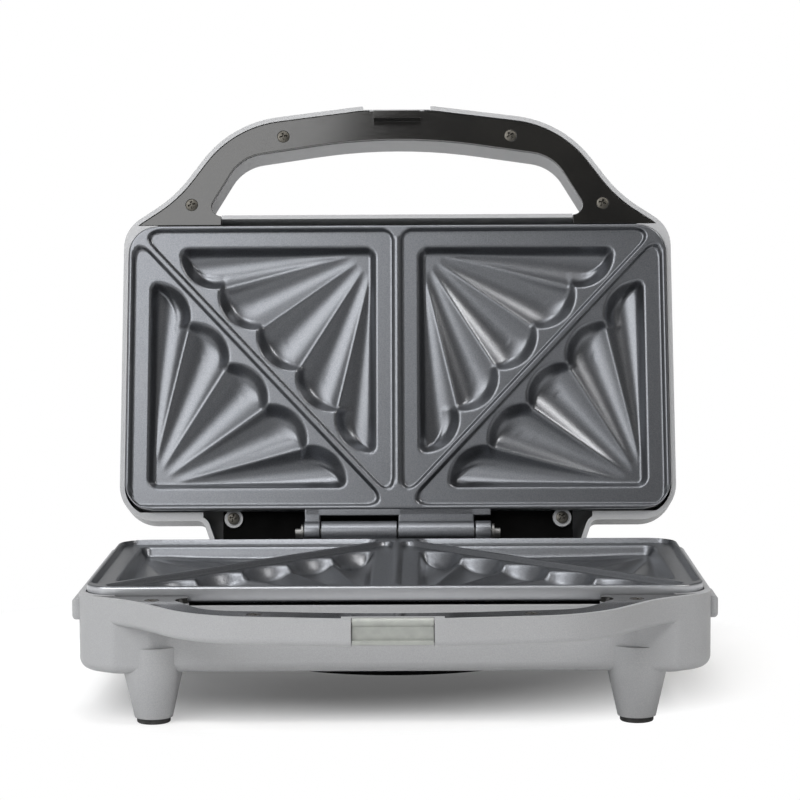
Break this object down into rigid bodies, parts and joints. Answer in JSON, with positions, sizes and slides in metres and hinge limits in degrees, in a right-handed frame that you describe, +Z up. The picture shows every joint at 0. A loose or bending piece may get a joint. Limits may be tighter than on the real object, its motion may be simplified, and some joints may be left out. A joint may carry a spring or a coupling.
{
  "type": "sandwich toaster",
  "caption": "Open two-portion sandwich toaster with hinged fluted non-stick plates, silver shells, arch handles, a fold-over latch and tapered legs.",
  "frame": {"origin": "on the surface it stands on, under the middle of the open toaster's box", "axes": "+X to the right, +Y from the front handle towards the hinge, +Z up"},
  "size_m": [0.285, 0.3078, 0.273],
  "materials": {
    "silver_shell": "satin silver-grey paint on moulded plastic",
    "gloss_black": "polished black moulding",
    "plate_coating": "dark grey metallic non-stick coating on cast aluminium",
    "latch_grey": "light grey moulding",
    "black_plastic": "fine-grained black moulding",
    "foot_rubber": "matt black rubber",
    "screw_steel": "dull zinc-plated steel",
    "pin_steel": "drawn steel",
    "sheet_steel": "plain pressed steel",
    "element_steel": "heat-tinted steel tube",
    "reflector_sheet": "bright rolled sheet",
    "white_insulator": "white insulating moulding",
    "brass_screw": "turned brass",
    "red_lens": "clear red lens",
    "green_lens": "clear green lens"
  },
  "bodies": {
    "base": {"base_housing": "silver_shell", "base_handle_cover": "gloss_black", "base_handle_screws": "screw_steel", "lower_plate": "plate_coating", "lower_heating_element": "element_steel", "lower_element_terminals": "white_insulator", "lower_element_clamps": "sheet_steel", "lower_clamp_screws": "screw_steel", "lower_reflector": "reflector_sheet", "lower_plate_screws": "screw_steel", "lower_thermostat": "sheet_steel", "thermal_fuse": "sheet_steel", "terminal_block": "white_insulator", "terminal_screws": "brass_screw", "cord_gland": "black_plastic", "foot_pads": "foot_rubber", "bottom_cover": "black_plastic", "bottom_cover_screws": "screw_steel", "hinge_pin": "pin_steel", "hinge_clips": "pin_steel", "latch_pin": "pin_steel"},
    "lid": {"lid_shell": "silver_shell", "lid_handle_cover": "gloss_black", "lid_handle_screws": "screw_steel", "upper_plate": "plate_coating", "upper_heating_element": "element_steel", "upper_element_terminals": "white_insulator", "upper_element_clamps": "sheet_steel", "upper_clamp_screws": "screw_steel", "upper_reflector": "reflector_sheet", "upper_plate_screws": "screw_steel", "upper_thermostat": "sheet_steel", "hood_liner": "black_plastic", "hood_screws": "screw_steel", "lamp_holder": "white_insulator", "power_lamp_lens": "red_lens", "ready_lamp_lens": "green_lens"},
    "latch": {"handle_latch": "latch_grey"}
  },
  "joints": [
    {"name": "lid_hinge", "type": "hinge", "parent": "base", "child": "lid", "pos_m": [0, 0.06795, 0.0611], "axis": [1, 0, 0], "range_deg": [0, 106]},
    {"name": "latch_pivot", "type": "hinge", "parent": "base", "child": "latch", "pos_m": [0, -0.15115, 0.0548], "axis": [-1, 0, 0], "range_deg": [0, 180]}
  ]
}
